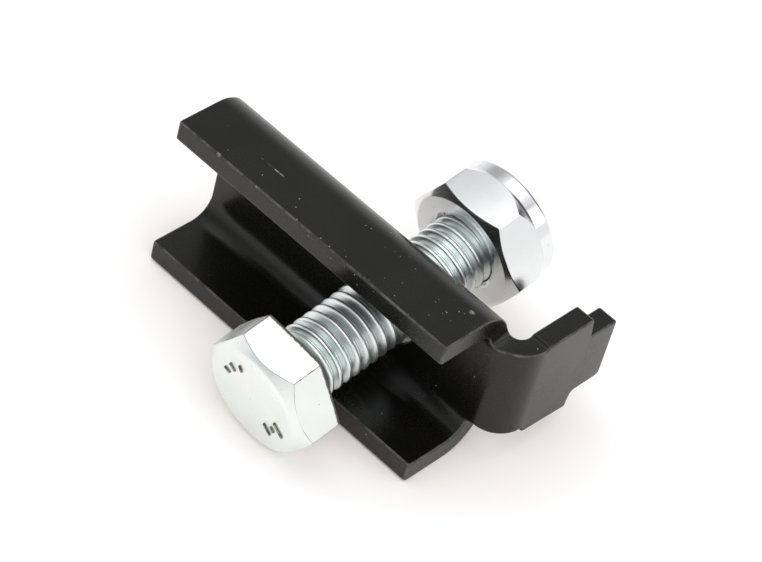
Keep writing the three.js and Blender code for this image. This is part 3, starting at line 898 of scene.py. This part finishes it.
def black_paint():
    """Satin paint, its edges lightened partly by wear and partly as a painted highlight, with pale specks,
    chips and one scratch on top.
    """
    finish = Finish("black paint")
    ridge = finish.attribute("ridge")
    mottle = finish.noise(7 * MM, 4.0)
    peel = finish.noise(1.3 * MM, 2.0)
    grain = finish.noise(0.16 * MM, 2.0)
    patches = finish.ramp(finish.noise(1.1 * MM, 5.0), 0.35, 0.65, 0.3, 1.0)
    # wear on the edges, which also stands in for a painted highlight along them
    worn_and_sheen = finish.product(finish.ramp(ridge, 0.8, 1.0), patches)

    distance, chance = finish.cells(0.8 * MM)
    east = finish.vector("DOT_PRODUCT", finish.place, (1.0, 0.0, 0.0))
    height = finish.vector("DOT_PRODUCT", finish.place, (0.0, 0.0, 1.0))
    below_top = finish.ramp(height, HALF_HEIGHT - 3 * MM, HALF_HEIGHT - 0.5 * MM, 0.6, 0.0)
    crowding = finish.total(finish.ramp(east, -0.2 * HALF_LENGTH, 0.5 * HALF_LENGTH, 0.92, 0.35), below_top)
    dot = finish.ramp(distance, 0.05, 0.15, finish.ramp(chance, 0.6, 1.0, 0.25, 0.9), 0.0)
    speck = finish.product(dot, finish.maths("GREATER_THAN", chance, crowding))

    top = HALF_HEIGHT                  # the marks below lie on the top flange
    scratched = finish.total(
        finish.scratch((-12.8 * MM, -8.65 * MM, top), (-8.4 * MM, -8.6 * MM, top), 0.09 * MM),
        finish.near_point((-16.1 * MM, FLANGE_TIP_Y, top), 0.45 * MM),
        finish.near_point((-9.4 * MM, FLANGE_TIP_Y, top), 0.24 * MM),
        finish.near_point((13.3 * MM, FLANGE_TIP_Y, top), 0.2 * MM),
        finish.near_point((20.9 * MM, -5.7 * MM, top), 0.5 * MM),
    )
    marks = finish.maths("MINIMUM", finish.total(speck, scratched), 1.0)
    base = finish.blend(mottle, (0.0032, 0.0032, 0.0026), (0.0056, 0.0054, 0.0042))
    rubbed_and_sheen = finish.blend(finish.product(worn_and_sheen, 0.8), base, (0.1, 0.094, 0.085))
    colour = finish.blend(finish.product(marks, 0.8), rubbed_and_sheen, (0.45, 0.44, 0.42))
    roughness = finish.total(
        finish.ramp(mottle, 0.3, 0.7, 0.23, 0.29),
        finish.ramp(grain, 0.3, 0.7, -0.03, 0.03),
        finish.product(worn_and_sheen, 0.08),
        finish.product(marks, 0.15),
    )
    finish.relief((peel, 9e-6), (grain, 1.6e-6), (finish.maths("SUBTRACT", 1.0, marks), 12e-6))
    finish.shader.inputs["IOR"].default_value = 1.42
    return finish.surface(colour, roughness)


def zinc(name, clean, tarnish, polish, line_depth, dent_depth):
    """Bright zinc plating, with painted shade in its creases and just under the bolt's head; polish is its
    least and most roughness.
    """
    finish = Finish(name)
    ridge, groove = finish.attribute("ridge"), finish.attribute("groove")
    cloud = finish.noise(3.5 * MM, 4.0)
    fine = finish.noise(0.35 * MM, 3.0)
    lines = finish.turning_lines(0.13 * MM)
    distance, chance = finish.cells(0.7 * MM)
    dot = finish.ramp(distance, 0.07, 0.15, 1.0, 0.0)
    pit = finish.product(dot, finish.maths("GREATER_THAN", chance, 0.92))
    patchy = finish.ramp(finish.noise(0.8 * MM, 4.0), 0.45, 0.6)
    _, along = finish.round_bolt_axis()
    on_head = finish.ramp(along, HEAD_SEAT, HEAD_SEAT + 0.1 * MM, 1.0, 0.0)
    edge_wear = finish.product(finish.ramp(ridge, 0.62, 0.85), finish.ramp(patchy, 0.0, 1.0, 0.7, 1.0))
    ragged = finish.total(along, finish.product(finish.noise(0.5 * MM, 3.0), 0.35 * MM))
    # a ragged dark band along the rim of the head's underside
    dark_rear_rim = finish.ramp(ragged, HEAD_SEAT - 0.35 * MM, HEAD_SEAT - 0.15 * MM)
    # darkens the head's worn edges and its rear rim, and roughens them
    darkened_head_edges = finish.product(finish.maths("MAXIMUM", edge_wear, dark_rear_rim), on_head)
    off_head = finish.maths("SUBTRACT", 1.0, on_head)
    # painted shade: the neck just under the head is darkened where the head shades it
    shade_under_head = finish.product(off_head, finish.ramp(along, HEAD_SEAT, HEAD_SEAT + 1.3 * MM, 1.6, 0.0))
    # painted shade in concave creases such as the thread roots, together with the shade under the head
    crease_shade = finish.maths("MAXIMUM", finish.ramp(groove, 0.35, 0.95), shade_under_head)
    warmth = finish.product(on_head, finish.ramp(finish.noise(6 * MM, 2.0), 0.45, 0.75, 0.25, 0.8))
    plated = finish.blend(warmth, finish.blend(cloud, clean, tarnish), (0.85, 0.835, 0.79))
    edged = finish.blend(finish.product(darkened_head_edges, 0.95), plated, (0.09, 0.08, 0.065))
    # the painted shade goes in as a dark blue-green colour
    crease_shaded = finish.blend(finish.product(crease_shade, 0.9), edged, (0.07, 0.09, 0.088))
    colour = finish.blend(finish.product(pit, 0.7), crease_shaded, (0.2, 0.2, 0.19))
    roughness = finish.total(
        finish.ramp(cloud, 0.3, 0.7, *polish),
        finish.ramp(fine, 0.35, 0.65, -0.02, 0.02),
        finish.product(darkened_head_edges, 0.12),
        finish.product(crease_shade, 0.15),
    )
    finish.relief((cloud, dent_depth), (lines, line_depth), (finish.maths("SUBTRACT", 1.0, pit), 10e-6))
    return finish.surface(colour, roughness, 1.0)


def nylon():
    """Off-white and slightly see-through, with faint turning lines."""
    finish = Finish("nylon")
    cloud = finish.noise(1.5 * MM, 3.0)
    fine = finish.noise(0.2 * MM, 2.0)
    lines = finish.turning_lines(0.2 * MM)
    colour = finish.blend(cloud, (0.80, 0.77, 0.69), (0.88, 0.86, 0.80))
    finish.relief((fine, 3e-6), (lines, 4e-6))
    material = finish.surface(colour, finish.ramp(cloud, 0.3, 0.7, 0.42, 0.52))
    finish.shader.inputs["Subsurface Weight"].default_value = 0.3
    finish.shader.inputs["Subsurface Radius"].default_value = (1.0 * MM, 0.9 * MM, 0.7 * MM)
    finish.shader.inputs["Subsurface Scale"].default_value = 1.0
    return material


def glowing_card():
    """A white sheet under the part that glows faintly warm: painted light, which keeps its shadows light and
    warm.
    """
    finish = Finish("glowing card")
    tone = finish.noise(120 * MM, 2.0)
    finish.relief((finish.noise(0.8 * MM, 3.0), 6e-6))
    # painted light: the sheet glows faintly warm, which lifts and warms the shadows cast on it
    finish.shader.inputs["Emission Color"].default_value = (1.0, 0.7, 0.52, 1)
    finish.shader.inputs["Emission Strength"].default_value = 0.14
    return finish.surface(finish.blend(tone, (0.88, 0.9, 0.915), (0.9, 0.92, 0.935)), 0.75)


# ---- assembly ----------------------------------------------------------------------------------

def fit_out(piece, material, body, node):
    """Gives a piece its material, and puts it in a CAD node's place on a body."""
    piece.data.materials.append(material)
    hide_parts(node)
    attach(piece, body)


def bolt_zinc():
    """Greenish and a little rough, with shallow dents."""
    return zinc("zinc bolt", clean=(0.81, 0.865, 0.855), tarnish=(0.73, 0.8, 0.79), polish=(0.29, 0.38),
                line_depth=3e-6, dent_depth=12e-6)


def nut_zinc():
    """Neutral, smooth and nearly a mirror."""
    return zinc("zinc nut", clean=(0.81, 0.825, 0.83), tarnish=(0.76, 0.78, 0.785), polish=(0.12, 0.18),
                line_depth=0.6e-6, dent_depth=1.5e-6)


fit_out(make_bracket(), black_paint(), "bracket", "clamp_bracket")
fit_out(make_bolt(), bolt_zinc(), "bolt", "hex_bolt")
fit_out(make_nut(), nut_zinc(), "nut", "lock_nut")
fit_out(make_ring(), nylon(), "ring", "nylon_insert")

# ---- camera ------------------------------------------------------------------------------------

CAMERA_AZIMUTH = math.radians(33.127)
CAMERA_ELEVATION = math.radians(43.767)
CAMERA_ROLL = math.radians(16.137)
CAMERA_DISTANCE = 0.4072
CAMERA_LENS = 154.59                                 # in millimetres, as Blender has it
SENSOR_WIDTH = 36                                    # likewise
CAMERA_AIM = Vector((0.00162, 0.00147, 0.00036))     # from the middle of the object's box


def aim_camera():
    """Looks at the part from a distance, an azimuth and an elevation, rolled about its own view line."""
    back = Vector((math.sin(CAMERA_AZIMUTH) * math.cos(CAMERA_ELEVATION),
                   -math.cos(CAMERA_AZIMUTH) * math.cos(CAMERA_ELEVATION),
                   math.sin(CAMERA_ELEVATION)))
    level_right = Vector((math.cos(CAMERA_AZIMUTH), math.sin(CAMERA_AZIMUTH), 0))
    level_up = back.cross(level_right)
    right = level_right * math.cos(CAMERA_ROLL) + level_up * math.sin(CAMERA_ROLL)
    up = back.cross(right)
    data = bpy.data.cameras.new("camera")
    data.lens = CAMERA_LENS
    data.sensor_width = SENSOR_WIDTH
    data.clip_start, data.clip_end = 0.01, 10
    camera = bpy.data.objects.new("camera", data)
    bpy.context.scene.collection.objects.link(camera)
    place = (cad_low + cad_high) / 2 + CAMERA_AIM + back * CAMERA_DISTANCE
    axes = Matrix((right, up, back)).transposed().to_4x4()
    camera.matrix_world = Matrix.Translation(place) @ axes
    bpy.context.scene.camera = camera


aim_camera()

# ---- floor and light ---------------------------------------------------------------------------

FLOOR_HALF_WIDTH = 1.5
STEEPEST_FLOOR = 0.3
SLOPE_HALVINGS = 60


def supporting_slope():
    """The line in Y and Z that the bracket and the bolt's head both stand on: (slope, height at y 0)."""
    bracket_points = np.array([v.co[:] for v in frame["nodes"]["clamp_bracket"].data.vertices])
    bolt_points = np.array([v.co[:] for v in frame["nodes"]["hex_bolt"].data.vertices])

    def lowest(points, slope):
        return float((points[:, 2] - slope * points[:, 1]).min())

    low, high = 0.0, STEEPEST_FLOOR
    for _ in range(SLOPE_HALVINGS):
        middle = (low + high) / 2
        if lowest(bracket_points, middle) > lowest(bolt_points, middle):
            low = middle
        else:
            high = middle
    return low, lowest(bracket_points, low)


floor_slope, floor_height = supporting_slope()


def make_floor():
    half = FLOOR_HALF_WIDTH
    corners = ((-half, -half), (half, -half), (half, half), (-half, half))
    mesh = bpy.data.meshes.new("floor")
    mesh.from_pydata([(x, y, floor_height + floor_slope * y) for x, y in corners], [], [(0, 1, 2, 3)])
    floor = new_piece("floor", mesh)
    mesh.materials.append(glowing_card())


make_floor()

# (sine of elevation, brightness)
SKY = [(0.0, 1.02), (0.2, 1.0), (0.5, 0.48), (0.72, 0.5), (0.87, 0.9), (0.93, 1.3), (1.0, 1.6)]
SKY_GAP = Vector((0.13, 0.95, 0.29)).normalized()       # towards a dark gap behind the part
SKY_GAP_EDGE = (math.cos(math.radians(18)), math.cos(math.radians(12)))
SKY_GAP_BRIGHTNESS = 0.1


def make_world():
    """A sky that is bright round the horizon and overhead, dim between, with one dark gap.

    The gap shows in reflections only, so that the backdrop behind the part stays plain.
    """
    world = bpy.data.worlds.new("studio")
    bpy.context.scene.world = world
    world.use_nodes = True
    nodes, links = world.node_tree.nodes, world.node_tree.links
    direction = nodes.new("ShaderNodeTexCoord")
    split = nodes.new("ShaderNodeSeparateXYZ")
    ramp = nodes.new("ShaderNodeValToRGB")
    links.new(direction.outputs["Generated"], split.inputs["Vector"])
    toward_gap = nodes.new("ShaderNodeVectorMath")
    toward_gap.operation = "DOT_PRODUCT"
    toward_gap.inputs[1].default_value = SKY_GAP
    links.new(direction.outputs["Generated"], toward_gap.inputs[0])
    dimming = nodes.new("ShaderNodeMapRange")
    dimming.interpolation_type = "SMOOTHSTEP"
    dimming.inputs["From Min"].default_value, dimming.inputs["From Max"].default_value = SKY_GAP_EDGE
    dimming.inputs["To Min"].default_value = 1.0
    dimming.inputs["To Max"].default_value = SKY_GAP_BRIGHTNESS
    links.new(toward_gap.outputs["Value"], dimming.inputs["Value"])
    ray = nodes.new("ShaderNodeLightPath")
    strength = nodes.new("ShaderNodeMath")
    strength.operation = "MAXIMUM"
    links.new(dimming.outputs["Result"], strength.inputs[0])
    links.new(ray.outputs["Is Camera Ray"], strength.inputs[1])
    links.new(strength.outputs["Value"], nodes["Background"].inputs["Strength"])
    links.new(split.outputs["Z"], ramp.inputs["Fac"])
    links.new(ramp.outputs["Color"], nodes["Background"].inputs["Color"])
    stops = ramp.color_ramp.elements
    while len(stops) < len(SKY):
        stops.new(1.0)
    for stop, (position, brightness) in zip(stops, SKY):
        stop.position = position
        stop.color = (brightness, brightness, brightness, 1)


make_world()


def make_softbox(name, place, size, power):
    """A soft rectangular light aimed at the part."""
    data = bpy.data.lights.new(name, "AREA")
    data.shape = "RECTANGLE"
    data.size, data.size_y = size
    data.energy = power
    lamp = bpy.data.objects.new(name, data)
    bpy.context.scene.collection.objects.link(lamp)
    lamp.location = place
    lamp.rotation_mode = "QUATERNION"
    lamp.rotation_quaternion = Vector(place).to_track_quat("Z", "Y")
    return lamp


make_softbox("right", (0.85, 0.42, 0.62), (0.6, 0.5), 1.6)
make_softbox("front", (0.5, -0.34, 0.66), (0.7, 0.6), 1.9)
make_softbox("overhead", (-0.05, 0.08, 0.8), (0.6, 0.6), 0.5)
fill = make_softbox("fill", (-0.55, 0.0, 0.6), (0.7, 0.6), 1.3)
fill.visible_glossy = False         # it lightens the floor's shadows and leaves the highlights alone

bpy.context.scene.view_settings.view_transform = "Standard"

bpy.context.view_layer.update()
